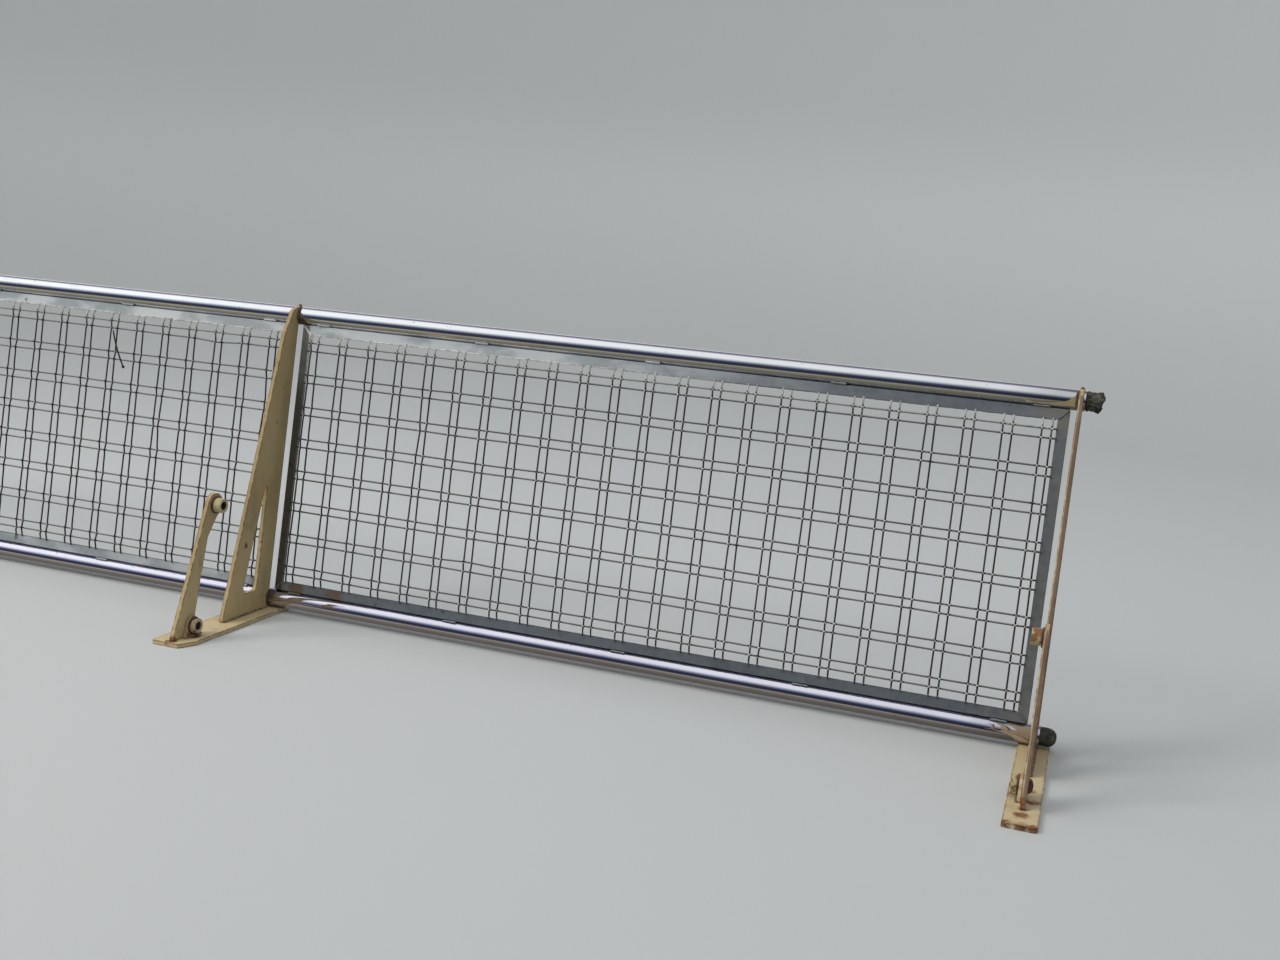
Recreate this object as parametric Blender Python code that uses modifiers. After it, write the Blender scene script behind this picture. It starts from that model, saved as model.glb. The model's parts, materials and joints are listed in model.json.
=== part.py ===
"""Front grille guard for a vehicle.

Two chrome tubes run the full width. Between them stand two angle-iron frames, each filled
with a double-wire mesh. Three painted brackets are welded to the backs of the tubes. Each
bracket has a slotted gusset plate, a flat foot, and a stay that pivots on a bolt through a
lug on the foot and ends in a threaded boss.

X runs along the tubes, +Y faces away from the vehicle, +Z is up. The feet lie flat on Z = 0
and the tubes and mesh lean forward by LEAN.
"""

import math

import bmesh
import bpy
from mathutils import Matrix, Vector

MM = 0.001

# Fits
TOUCH = 0.3 * MM  # gap between pieces that are welded, clamped or pushed together
BOLT_PLAY = 0.3 * MM  # radial room around a bolt

# Whole guard
LEAN = math.radians(7.0)  # forward lean of the tubes and mesh
BAY = 940.0 * MM  # gusset to gusset
TUBE_SPACING = 356.0 * MM  # between the tube axes, along the lean

# Tubes and their end plugs
TUBE_DIAMETER = 22.0 * MM
TUBE_WALL = 1.5 * MM
TUBE_OVERHANG = 2.0 * MM  # tube past the outer face of an end gusset
PLUG_INSERT = 18.0 * MM
PLUG_HEAD = 16.5 * MM
PLUG_EDGE = 4.0 * MM  # rounding at the head's outer rim
PLUG_GRIP = 0.3 * MM  # radial gap of the plug's shank in the tube
CAP_GROOVE = 0.7 * MM  # depth of the ring grooves in a domed cap

# Angle-iron frames
ANGLE_FACE = 11.5 * MM  # leg that the mesh is welded to
ANGLE_DEPTH = 12.0 * MM  # leg that stands against the tubes
ANGLE_THICKNESS = 2.0 * MM
FRAME_SIDE_GAP = 6.75 * MM  # open gap between a gusset and a frame

# Double-wire mesh
WIRE = 2.0 * MM
PAIR_PITCH = 40.0 * MM
PAIR_GAP = 10.0 * MM  # between the two wires of a pair, centre to centre
EDGE_BAR = 2.4 * MM  # bar along the mesh border that the wires are welded to
MESH_BEHIND = 9.0 * MM  # middle of the mesh behind the tubes' axes

# Gussets
PLATE = 5.0 * MM
GUSSET_REACH = 103.4 * MM  # rear corner behind the bottom tube's axis
GUSSET_FRONT = 7.0 * MM  # front edge behind the tubes' axes
GUSSET_RIM = 29.0 * MM  # band left around the slot
SLOT_FLOOR = 27.0 * MM  # slot's lower edge above the gusset's base
SLOT_TIP_RADIUS = 2.5 * MM
SLOT_CORNER_RADIUS = 7.0 * MM
NOSE_BACK = 34.0 * MM  # shoulder behind the top tube's axis
NOSE_DROP = 24.0 * MM  # shoulder below the top tube's axis
NOSE_LIP = 1.8 * MM  # plate left over the top tube
NOSE_END = math.radians(112.0)  # round the top tube, from straight ahead
BROW_BACK = 8.0 * MM  # brow behind the lip's circle
BROW_RISE = 5.0 * MM  # brow above the top tube's axis
BROW_ROUND = 6.0 * MM
SHOULDER_ROUND = 20.0 * MM
REAR_CORNER_ROUND = 2.0 * MM

# Feet
FOOT_THICKNESS = 5.0 * MM
FOOT_TOE = 20.0 * MM  # foot in front of the bottom tube's axis
MIDDLE_FOOT_WIDTH = 44.0 * MM
END_FOOT_WIDTH = 32.5 * MM
MIDDLE_FOOT_TAIL = 5.0 * MM  # foot behind the stay's heel
END_FOOT_TAIL = 38.0 * MM
FOOT_CORNER = 3.0 * MM
MIDDLE_CORNER_CUT = 9.0 * MM  # slanted rear corner of the middle foot, across
MIDDLE_CORNER_RUN = 22.0 * MM  # and along

# Stays
PIVOT_GAP = 60.6 * MM  # pivot behind the gusset's rear corner
PIVOT_HEIGHT = 13.0 * MM  # pivot above the foot
STAY_RISE = 135.0 * MM  # boss above the pivot
STAY_FORWARD = 40.5 * MM  # boss in front of the pivot
STAY_HEEL = 32.0 * MM  # heel behind the pivot
EYE_RADIUS = 13.5 * MM
NECK_DROP = 22.0 * MM  # narrowest place below the boss
NECK_WIDTH = 14.5 * MM
WAIST_WIDTH = 22.0 * MM  # half way up
NECK_ROUND = 16.0 * MM
HEEL_ROUND = 1.0 * MM
EYE_SWEEP = math.radians(38.0)  # eye's arc past the line to the neck
ROOT_END = math.radians(52.0)  # where the root's arc meets the front edge

# Lugs and fasteners
LUG_RADIUS = 11.0 * MM
LUG_FOOTING = 30.0 * MM
LUG_THICKNESS = 3.5 * MM
BOLT_DIAMETER = 10.0 * MM
BOLT_HEAD_DIAMETER = 15.0 * MM
BOLT_HEAD_HEIGHT = 4.0 * MM
BOLT_RECESS = 2.0 * MM  # bolt end below the nut's outer face
BOLT_CHAMFER = 1.0 * MM
NUT_LENGTH = 5.5 * MM
BOSS_DIAMETER = 17.0 * MM
BOSS_LENGTH = 9.5 * MM
BOSS_CHAMFER = 1.2 * MM
RING_DIAMETER = 20.0 * MM
RING_THICKNESS = 1.5 * MM
RING_CHAMFER = 0.375 * MM

EDGE_BREAK = 0.5 * MM  # bevel on cut plate edges
EDGE_ANGLE = math.radians(40.0)  # edges that turn more than this are bevelled
ROUND_STEPS = 20  # facets of a small round piece
TUBE_STEPS = 32
CORNER_STEPS = 4
WELD_DISTANCE = 1e-6

TUBE_RADIUS = TUBE_DIAMETER / 2
BORE_RADIUS = TUBE_RADIUS - TUBE_WALL
SADDLE_RADIUS = TUBE_RADIUS + TOUCH
HOLE_RADIUS = BOLT_DIAMETER / 2 + BOLT_PLAY
TUBE_LENGTH = 2 * (BAY + PLATE / 2 + TUBE_OVERHANG)
BASE_DROP = TUBE_RADIUS  # gusset base below the bottom tube's axis
FOOT_TOP = -(BASE_DROP + TOUCH)  # height from the bottom tube's axis
PIVOT_BACK = GUSSET_REACH + PIVOT_GAP
FRAME_WIDTH = BAY - PLATE - 2 * FRAME_SIDE_GAP
FRAME_HEIGHT = TUBE_SPACING - TUBE_DIAMETER - 2 * TOUCH
OPENING_WIDTH = FRAME_WIDTH - 2 * ANGLE_FACE
OPENING_HEIGHT = FRAME_HEIGHT - 2 * ANGLE_FACE
WIRE_LAYER = (WIRE + TOUCH) / 2  # each wire layer's middle from the mesh's middle
FACE_BACK = -MESH_BEHIND + WIRE_LAYER + WIRE / 2 + TOUCH  # rear face of the frame's face leg

# The guard's own origin is under the middle of its outline on the floor.
TOP_TUBE_FRONT = TUBE_SPACING * math.sin(LEAN) + TUBE_RADIUS
REAR_END = -(PIVOT_BACK + STAY_HEEL + END_FOOT_TAIL)
BOTTOM_AXIS = Vector((0.0, -(TOP_TUBE_FRONT + REAR_END) / 2, FOOT_THICKNESS - FOOT_TOP))

for old_object in list(bpy.data.objects):
    bpy.data.objects.remove(old_object, do_unlink=True)

guard = bpy.data.collections.new("front_grille_guard")
bpy.context.scene.collection.children.link(guard)


def make_material(name, colour, roughness, metallic):
    """A plain Principled material."""
    material = bpy.data.materials.new(name)
    material.use_nodes = True
    shader = material.node_tree.nodes["Principled BSDF"]
    shader.inputs["Base Color"].default_value = (*colour, 1.0)
    shader.inputs["Roughness"].default_value = roughness
    shader.inputs["Metallic"].default_value = metallic
    material.diffuse_color = (*colour, 1.0)
    return material


CHROME = make_material("chrome", (0.80, 0.81, 0.84), 0.08, 1.0)
ZINC = make_material("galvanised_steel", (0.42, 0.44, 0.45), 0.45, 0.9)
WIRE_STEEL = make_material("mesh_wire", (0.35, 0.33, 0.34), 0.40, 0.9)
CREAM = make_material("cream_paint", (0.63, 0.55, 0.38), 0.50, 0.0)
RUST = make_material("rusty_steel", (0.33, 0.20, 0.11), 0.75, 0.4)
RUBBER = make_material("weathered_rubber", (0.10, 0.10, 0.08), 0.85, 0.0)


def empty(name, location, tilt=0.0, parent=None):
    """A frame that pieces are placed in, turned by tilt about X."""
    frame = bpy.data.objects.new(name, None)
    frame.location = location
    frame.rotation_euler = (tilt, 0.0, 0.0)
    frame.parent = parent
    guard.objects.link(frame)
    return frame


def place(name, mesh, material, parent, matrix):
    """Adds one named piece, set by matrix in its parent's frame."""
    piece = bpy.data.objects.new(name, mesh)
    if not mesh.materials:
        mesh.materials.append(material)
    piece.parent = parent
    piece.matrix_local = matrix
    guard.objects.link(piece)
    return piece


def break_edges(piece, width):
    """Bevels the cut edges of a plate or a rolled section."""
    bevel = piece.modifiers.new("edge_break", "BEVEL")
    bevel.width = width
    bevel.segments = 1
    bevel.limit_method = "ANGLE"
    bevel.angle_limit = EDGE_ANGLE


def arc(centre, radius, start, end, steps):
    """Points on a circle from start to end, in radians."""
    points = []
    for step in range(steps + 1):
        angle = start + (end - start) * step / steps
        points.append((centre[0] + radius * math.cos(angle), centre[1] + radius * math.sin(angle)))
    return points


def circle(centre, radius, steps=ROUND_STEPS):
    return arc(centre, radius, 0.0, 2 * math.pi * (steps - 1) / steps, steps - 1)


def rounded(corners):
    """Replaces each (u, v, radius) corner of a closed outline by a fillet."""
    outline = []
    for index, (u, v, radius) in enumerate(corners):
        here = Vector((u, v))
        if radius <= 0.0:
            outline.append((u, v))
            continue
        back = (Vector(corners[index - 1][:2]) - here).normalized()
        ahead = (Vector(corners[(index + 1) % len(corners)][:2]) - here).normalized()
        half = back.angle(ahead) / 2
        centre = here + (back + ahead).normalized() * (radius / math.sin(half))
        first = here + back * (radius / math.tan(half)) - centre
        start = math.atan2(first.y, first.x)
        sweep = math.pi - 2 * half
        if back.x * ahead.y - back.y * ahead.x > 0.0:
            sweep = -sweep
        outline += arc(centre, radius, start, start + sweep, CORNER_STEPS)
    return outline


def plate_mesh(name, loops, thickness):
    """A flat plate in the XY plane from an outline and any holes."""
    curve = bpy.data.curves.new(name, "CURVE")
    curve.dimensions = "2D"
    curve.fill_mode = "BOTH"
    curve.extrude = thickness / 2
    for loop in loops:
        spline = curve.splines.new("POLY")
        spline.points.add(len(loop) - 1)
        for point, (u, v) in zip(spline.points, loop):
            point.co = (u, v, 0.0, 1.0)
        spline.use_cyclic_u = True
    maker = bpy.data.objects.new(name, curve)
    guard.objects.link(maker)
    evaluated = maker.evaluated_get(bpy.context.evaluated_depsgraph_get())
    mesh = bpy.data.meshes.new_from_object(evaluated)
    bpy.data.objects.remove(maker, do_unlink=True)
    bpy.data.curves.remove(curve)
    mesh.name = name
    shape = bmesh.new()
    shape.from_mesh(mesh)
    bmesh.ops.remove_doubles(shape, verts=shape.verts, dist=WELD_DISTANCE)
    bmesh.ops.recalc_face_normals(shape, faces=shape.faces)
    shape.to_mesh(mesh)
    shape.free()
    return mesh


def profile_mesh(name, points, closed):
    """A line of (radius, height) points, to be spun about Z."""
    edges = [(index, index + 1) for index in range(len(points) - 1)]
    if closed:
        edges.append((len(points) - 1, 0))
    mesh = bpy.data.meshes.new(name)
    mesh.from_pydata([(radius, 0.0, height) for radius, height in points], edges, [])
    return mesh


def spin(piece, steps):
    """Turns a profile into a round piece with smooth sides."""
    screw = piece.modifiers.new("turned", "SCREW")
    screw.steps = steps
    screw.render_steps = steps
    screw.use_merge_vertices = True
    screw.merge_threshold = WELD_DISTANCE
    screw.use_smooth_shade = True
    return piece


def ring_points(outer, inner, length, chamfer):
    """Profile of a collar from height 0 to length, chamfered at its outer end."""
    return [
        (inner, length),
        (outer - chamfer, length),
        (outer, length - chamfer),
        (outer, 0.0),
        (inner, 0.0),
    ]


def along_x(x, y, z, side=1.0):
    """Puts a turned piece's axis along X, with its top pointing to side."""
    return Matrix.Translation((x, y, z)) @ Matrix.Rotation(side * math.pi / 2, 4, "Y")


UPRIGHT = Matrix(((0, 0, 1, 0), (1, 0, 0, 0), (0, 1, 0, 0), (0, 0, 0, 1)))  # XY plate into YZ


# Frames that the pieces are placed in
floor_frame = empty("floor_frame", BOTTOM_AXIS)
leaning_frame = empty("leaning_frame", BOTTOM_AXIS, tilt=-LEAN)


# Tubes
tube_profile = profile_mesh(
    "tube",
    [
        (BORE_RADIUS, TUBE_LENGTH / 2),
        (TUBE_RADIUS, TUBE_LENGTH / 2),
        (TUBE_RADIUS, -TUBE_LENGTH / 2),
        (BORE_RADIUS, -TUBE_LENGTH / 2),
    ],
    closed=True,
)
for level, height in (("bottom", 0.0), ("top", TUBE_SPACING)):
    tube = place(f"{level}_tube", tube_profile, CHROME, leaning_frame, along_x(0.0, 0.0, height))
    spin(tube, TUBE_STEPS)


# Rubber plugs: a shank in the tube and a head against its end
def plug_points(grooves):
    shank = BORE_RADIUS - PLUG_GRIP
    points = [(0.0, TOUCH + PLUG_HEAD)]
    rim = TUBE_RADIUS - PLUG_EDGE
    for groove in range(grooves):
        middle = rim * (groove + 1) / (grooves + 1)
        points.append((middle - CAP_GROOVE, TOUCH + PLUG_HEAD))
        points.append((middle, TOUCH + PLUG_HEAD - CAP_GROOVE))
        points.append((middle + CAP_GROOVE, TOUCH + PLUG_HEAD))
    points += arc((rim, TOUCH + PLUG_HEAD - PLUG_EDGE), PLUG_EDGE, math.pi / 2, 0.0, CORNER_STEPS)
    points += [(TUBE_RADIUS, TOUCH), (shank, TOUCH), (shank, -PLUG_INSERT), (0.0, -PLUG_INSERT)]
    return points


for level, height, piece_name, grooves in (
    ("bottom", 0.0, "cap", 2),
    ("top", TUBE_SPACING, "plug", 0),
):
    profile = profile_mesh(f"{level}_{piece_name}", plug_points(grooves), closed=False)
    for side_name, side in (("left", -1.0), ("right", 1.0)):
        matrix = along_x(side * TUBE_LENGTH / 2, 0.0, height, side)
        plug = place(f"{level}_{side_name}_{piece_name}", profile, RUBBER, leaning_frame, matrix)
        spin(plug, ROUND_STEPS)


# Mitred angle-iron frame members. The section's face leg lies in the panel's plane and its
# other leg stands forward at the frame's outer edge.
def angle_mesh(name, length):
    """A mitred member along X, outer edge at v = 0, face leg towards +v, depth towards +w."""
    section = [
        (0.0, 0.0),
        (ANGLE_FACE, 0.0),
        (ANGLE_FACE, ANGLE_THICKNESS),
        (ANGLE_THICKNESS, ANGLE_THICKNESS),
        (ANGLE_THICKNESS, ANGLE_DEPTH),
        (0.0, ANGLE_DEPTH),
    ]
    shape = bmesh.new()
    start = [shape.verts.new((-length / 2 + v, v, w)) for v, w in section]
    face = shape.faces.new(start)
    swept = bmesh.ops.extrude_face_region(shape, geom=[face])["geom"]
    for vertex in swept:
        if isinstance(vertex, bmesh.types.BMVert):
            vertex.co.x = length / 2 - vertex.co.y
    bmesh.ops.recalc_face_normals(shape, faces=shape.faces)
    mesh = bpy.data.meshes.new(name)
    shape.to_mesh(mesh)
    shape.free()
    return mesh


MITRE_GAP = TOUCH * math.sqrt(2)
rail_mesh = angle_mesh("rail", FRAME_WIDTH - 2 * MITRE_GAP)
stile_mesh = angle_mesh("stile", FRAME_HEIGHT)

# Each member's own axes: along, inward across the face leg, forward in depth
MEMBER_TURNS = {
    "bottom_rail": Matrix(((1, 0, 0), (0, 0, 1), (0, 1, 0))),
    "top_rail": Matrix(((-1, 0, 0), (0, 0, 1), (0, -1, 0))),
    "left_stile": Matrix(((0, 1, 0), (0, 0, 1), (1, 0, 0))),
    "right_stile": Matrix(((0, -1, 0), (0, 0, 1), (-1, 0, 0))),
}


def add_frame(panel, x_centre):
    z_low = TUBE_RADIUS + TOUCH
    spots = {
        "bottom_rail": (x_centre, FACE_BACK, z_low),
        "top_rail": (x_centre, FACE_BACK, z_low + FRAME_HEIGHT),
        "left_stile": (x_centre - FRAME_WIDTH / 2, FACE_BACK, z_low + FRAME_HEIGHT / 2),
        "right_stile": (x_centre + FRAME_WIDTH / 2, FACE_BACK, z_low + FRAME_HEIGHT / 2),
    }
    for member, spot in spots.items():
        mesh = rail_mesh if member.endswith("rail") else stile_mesh
        matrix = Matrix.Translation(spot) @ MEMBER_TURNS[member].to_4x4()
        piece = place(f"{panel}_{member}", mesh, ZINC, leaning_frame, matrix)
        break_edges(piece, EDGE_BREAK)


# Mesh: wires in pairs, welded to a bar at each end
def wire_centres(opening):
    """Places of all wires of one direction, centred in the opening."""
    pairs = 1 + int((opening - PAIR_GAP - WIRE) / PAIR_PITCH)
    first = -((pairs - 1) * PAIR_PITCH + PAIR_GAP) / 2
    centres = []
    for pair in range(pairs):
        centres.append(first + pair * PAIR_PITCH)
        centres.append(first + pair * PAIR_PITCH + PAIR_GAP)
    return centres


def wire_set_mesh(name, opening_across, opening_along):
    """Parallel wires along Y that start and end in a bar lying on the frame."""
    centres = wire_centres(opening_across)
    low = centres[0] - WIRE / 2
    high = centres[-1] + WIRE / 2
    end = opening_along / 2 + EDGE_BAR
    inner_end = opening_along / 2
    loops = [[(low, -end), (high, -end), (high, end), (low, end)]]
    for left, right in zip(centres[:-1], centres[1:]):
        near = left + WIRE / 2
        far = right - WIRE / 2
        loops.append([(near, -inner_end), (far, -inner_end), (far, inner_end), (near, inner_end)])
    return plate_mesh(name, loops, WIRE)


upright_wires = wire_set_mesh("upright_wires", OPENING_WIDTH, OPENING_HEIGHT)
cross_wires = wire_set_mesh("cross_wires", OPENING_HEIGHT, OPENING_WIDTH)
# Wires of each direction: along Z in the rear layer, along X in the front layer
UPRIGHT_TURN = Matrix(((1, 0, 0), (0, 0, -1), (0, 1, 0)))
CROSS_TURN = Matrix(((0, 1, 0), (0, 0, -1), (-1, 0, 0)))


def add_mesh(panel, x_centre):
    z_centre = TUBE_SPACING / 2
    for kind, mesh, turn, layer in (
        ("upright_wires", upright_wires, UPRIGHT_TURN, -WIRE_LAYER),
        ("cross_wires", cross_wires, CROSS_TURN, WIRE_LAYER),
    ):
        spot = (x_centre, -MESH_BEHIND + layer, z_centre)
        matrix = Matrix.Translation(spot) @ turn.to_4x4()
        place(f"{panel}_{kind}", mesh, WIRE_STEEL, leaning_frame, matrix)


for panel, x_centre in (("left_panel", -BAY / 2), ("right_panel", BAY / 2)):
    add_frame(panel, x_centre)
    add_mesh(panel, x_centre)


# Gusset: outline in (Y, Z) from the bottom tube's axis
def leaned(across, up):
    """From the leaning frame's (Y, Z) to the floor frame's."""
    return (
        across * math.cos(LEAN) + up * math.sin(LEAN),
        -across * math.sin(LEAN) + up * math.cos(LEAN),
    )


def crossing(point, direction, other_point, other_direction):
    """Where two lines in a plane meet."""
    gap = Vector(other_point) - Vector(point)
    turn = direction.x * other_direction.y - direction.y * other_direction.x
    share = (gap.x * other_direction.y - gap.y * other_direction.x) / turn
    return Vector(point) + direction * share


shoulder = leaned(-NOSE_BACK, TUBE_SPACING - NOSE_DROP)
rear_corner = (-GUSSET_REACH, -BASE_DROP)
rear_edge = (Vector(shoulder) - Vector(rear_corner)).normalized()
front_edge = Vector(leaned(0.0, 1.0))
front_point = leaned(-GUSSET_FRONT, 0.0)
front_corner = crossing(front_point, front_edge, rear_corner, Vector((1.0, 0.0)))
saddle_half = math.acos(GUSSET_FRONT / SADDLE_RADIUS)  # half angle of each tube saddle


def saddle(up, start, end):
    """The notch that fits round the rear of a tube."""
    points = arc((0.0, up), SADDLE_RADIUS, start, end, 2 * CORNER_STEPS)
    return [(*leaned(*point), 0.0) for point in points]


horn = SADDLE_RADIUS + NOSE_LIP
nose_tip = leaned(horn * math.cos(NOSE_END), TUBE_SPACING + horn * math.sin(NOSE_END))
brow = leaned(-(horn + BROW_BACK), TUBE_SPACING + BROW_RISE)
gusset_outline = rounded(
    [
        (*rear_corner, REAR_CORNER_ROUND),
        (*shoulder, SHOULDER_ROUND),
        (*brow, BROW_ROUND),
        (*nose_tip, 0.0),
    ]
    + saddle(TUBE_SPACING, NOSE_END, math.pi + saddle_half)
    + saddle(0.0, math.pi - saddle_half, math.pi + saddle_half)
    + [(*front_corner, 0.0)]
)

rear_inset = Vector((rear_edge.y, -rear_edge.x)) * GUSSET_RIM
front_inset = Vector((-front_edge.y, front_edge.x)) * GUSSET_RIM
slot_line = (0.0, -BASE_DROP + SLOT_FLOOR)
rear_line = Vector(rear_corner) + rear_inset
front_line = Vector(front_point) + front_inset
level_way = Vector((1.0, 0.0))
slot_outline = rounded(
    [
        (*crossing(rear_line, rear_edge, slot_line, level_way), SLOT_CORNER_RADIUS),
        (*crossing(front_line, front_edge, slot_line, level_way), SLOT_CORNER_RADIUS),
        (*crossing(rear_line, rear_edge, front_line, front_edge), SLOT_TIP_RADIUS),
    ]
)
gusset_mesh = plate_mesh("gusset", [gusset_outline, slot_outline], PLATE)


# Stay: outline in (Y, Z) from its pivot. The heel rests on the foot.
eye = Vector((STAY_FORWARD, STAY_RISE))
heel = Vector((-STAY_HEEL, -PIVOT_HEIGHT + TOUCH))
root_radius = PIVOT_HEIGHT - 2 * TOUCH


heel_view = heel - eye
heel_angle = 2 * math.pi + math.atan2(heel_view.y, heel_view.x)
eye_start = heel_angle - math.acos(EYE_RADIUS / heel_view.length)  # rear edge touches the eye
rear_way = (Vector((math.cos(eye_start), math.sin(eye_start))) * EYE_RADIUS + eye - heel).normalized()
rear_normal = Vector((rear_way.y, -rear_way.x))


def across_stay(up, width):
    """A point on the stay's front edge, width away from its rear edge."""
    return tuple(heel + rear_way * up + rear_normal * width)


stay_length = STAY_RISE + PIVOT_HEIGHT
neck = across_stay(stay_length - NECK_DROP, NECK_WIDTH)
waist = across_stay(stay_length / 2, WAIST_WIDTH)
eye_end = math.atan2(neck[1] - eye.y, neck[0] - eye.x) + EYE_SWEEP
eye_arc = arc(eye, EYE_RADIUS, eye_start, eye_end, 4 * CORNER_STEPS)
root_arc = arc((0.0, 0.0), root_radius, ROOT_END, -math.pi / 2, 2 * CORNER_STEPS)
stay_outline = rounded(
    [(*heel, HEEL_ROUND)]
    + [(*point, 0.0) for point in eye_arc]
    + [(*neck, NECK_ROUND), (*waist, NECK_ROUND)]
    + [(*point, 0.0) for point in root_arc]
)
stay_mesh = plate_mesh(
    "stay",
    [stay_outline, circle((0.0, 0.0), HOLE_RADIUS), circle(tuple(eye), BOLT_DIAMETER / 2)],
    PLATE,
)

# Lug: stands on the foot beside the stay and carries the pivot bolt
lug_base = -PIVOT_HEIGHT + TOUCH
lug_outline = (
    arc((0.0, 0.0), LUG_RADIUS, 0.0, math.pi, 2 * CORNER_STEPS)
    + [(-LUG_FOOTING / 2, lug_base), (LUG_FOOTING / 2, lug_base)]
)
lug_mesh = plate_mesh("lug", [lug_outline, circle((0.0, 0.0), HOLE_RADIUS)], LUG_THICKNESS)


# Turned pieces, each from height 0 upwards along its own axis
ring_profile = profile_mesh(
    "ring",
    ring_points(RING_DIAMETER / 2, HOLE_RADIUS, RING_THICKNESS, RING_CHAMFER),
    closed=True,
)
boss_profile = profile_mesh(
    "boss",
    ring_points(BOSS_DIAMETER / 2, BOLT_DIAMETER / 2, BOSS_LENGTH, BOSS_CHAMFER),
    closed=True,
)
nut_profile = profile_mesh(
    "nut",
    ring_points(BOSS_DIAMETER / 2, HOLE_RADIUS, NUT_LENGTH, BOSS_CHAMFER),
    closed=True,
)

# Places along a bracket's X from the middle of its stay, on the boss side
stay_side = PLATE / 2 + TOUCH
boss_start = stay_side + RING_THICKNESS + TOUCH
lug_middle = stay_side + LUG_THICKNESS / 2
washer_start = stay_side + LUG_THICKNESS + TOUCH
nut_start = washer_start + RING_THICKNESS + TOUCH
bolt_end = nut_start + NUT_LENGTH - BOLT_RECESS


def bolt_points():
    """Domed head below height 0, shank up to the recessed end inside the nut."""
    radius = BOLT_DIAMETER / 2
    length = stay_side + bolt_end
    head_radius = BOLT_HEAD_DIAMETER / 2
    dome = arc((0.0, 0.0), 1.0, 0.0, -math.pi / 2, CORNER_STEPS)
    points = [(0.0, length), (radius - BOLT_CHAMFER, length)]
    points += [(radius, length - BOLT_CHAMFER), (radius, 0.0)]
    points += [(head_radius * u, BOLT_HEAD_HEIGHT * v) for u, v in dome[:-1]]
    points.append((0.0, -BOLT_HEAD_HEIGHT))
    return points


bolt_profile = profile_mesh("bolt", bolt_points(), closed=False)


def foot_mesh(name, width, tail, corner_cut, corner_run):
    """A flat foot, its rear right corner cut on a slant if corner_cut is set."""
    rear = -(PIVOT_BACK + STAY_HEEL + tail)
    half = width / 2
    corners = [(-half, rear, FOOT_CORNER)]
    if corner_cut:
        corners.append((half - corner_cut, rear, FOOT_CORNER))
        corners.append((half, rear + corner_run, FOOT_CORNER))
    else:
        corners.append((half, rear, FOOT_CORNER))
    corners.append((half, FOOT_TOE, FOOT_CORNER))
    corners.append((-half, FOOT_TOE, FOOT_CORNER))
    return plate_mesh(name, [rounded(corners)], FOOT_THICKNESS)


middle_foot = foot_mesh(
    "middle_foot", MIDDLE_FOOT_WIDTH, MIDDLE_FOOT_TAIL, MIDDLE_CORNER_CUT, MIDDLE_CORNER_RUN
)
end_foot = foot_mesh("end_foot", END_FOOT_WIDTH, END_FOOT_TAIL, 0.0, 0.0)


def add_bracket(name, x, foot, boss_side):
    """One bracket at x, with its threaded boss on the side given by boss_side."""
    foot_spot = Matrix.Translation((x, 0.0, FOOT_TOP - FOOT_THICKNESS / 2))
    foot_piece = place(f"{name}_foot", foot, CREAM, floor_frame, foot_spot)
    gusset_spot = Matrix.Translation((x, 0.0, 0.0)) @ UPRIGHT
    gusset = place(f"{name}_gusset", gusset_mesh, CREAM, floor_frame, gusset_spot)

    pivot = (x, -PIVOT_BACK, FOOT_TOP + PIVOT_HEIGHT)
    joint = empty(f"{name}_stay_axis", pivot, parent=floor_frame)
    stay = place(f"{name}_stay", stay_mesh, CREAM, joint, UPRIGHT)
    ring_spot = along_x(boss_side * stay_side, eye.x, eye.y, boss_side)
    boss_spot = along_x(boss_side * boss_start, eye.x, eye.y, boss_side)
    boss_ring = place(f"{name}_boss_ring", ring_profile, RUST, joint, ring_spot)
    boss = place(f"{name}_threaded_boss", boss_profile, CREAM, joint, boss_spot)

    still = empty(f"{name}_lug_axis", pivot, parent=floor_frame)
    lug_spot = Matrix.Translation((boss_side * lug_middle, 0.0, 0.0)) @ UPRIGHT
    lug = place(f"{name}_lug", lug_mesh, CREAM, still, lug_spot)
    washer_spot = along_x(boss_side * washer_start, 0.0, 0.0, boss_side)
    washer = place(f"{name}_pivot_washer", ring_profile, RUST, still, washer_spot)
    nut_spot = along_x(boss_side * nut_start, 0.0, 0.0, boss_side)
    nut = place(f"{name}_pivot_nut", nut_profile, RUST, still, nut_spot)
    bolt_spot = along_x(-boss_side * stay_side, 0.0, 0.0, boss_side)
    bolt = place(f"{name}_pivot_bolt", bolt_profile, RUST, still, bolt_spot)

    for flat in (foot_piece, gusset, stay, lug):
        break_edges(flat, EDGE_BREAK)
    for turned in (boss_ring, boss, washer, nut, bolt):
        spin(turned, ROUND_STEPS)


add_bracket("left", -BAY, end_foot, 1.0)
add_bracket("middle", 0.0, middle_foot, 1.0)
add_bracket("right", BAY, end_foot, -1.0)
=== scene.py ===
"""Front grille guard: woven wire, chrome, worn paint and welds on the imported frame.

The CAD plates and angle-iron members keep their shapes and get procedural finishes. The
tubes, their plugs, the wires and the fasteners are rebuilt with finer shapes, and weld
beads are added. Lengths are in metres in the CAD's own frame, with the rear side at -Y.
"""

import json
import math
import random

import bmesh
import bpy
from mathutils import Matrix, Vector, noise


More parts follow.
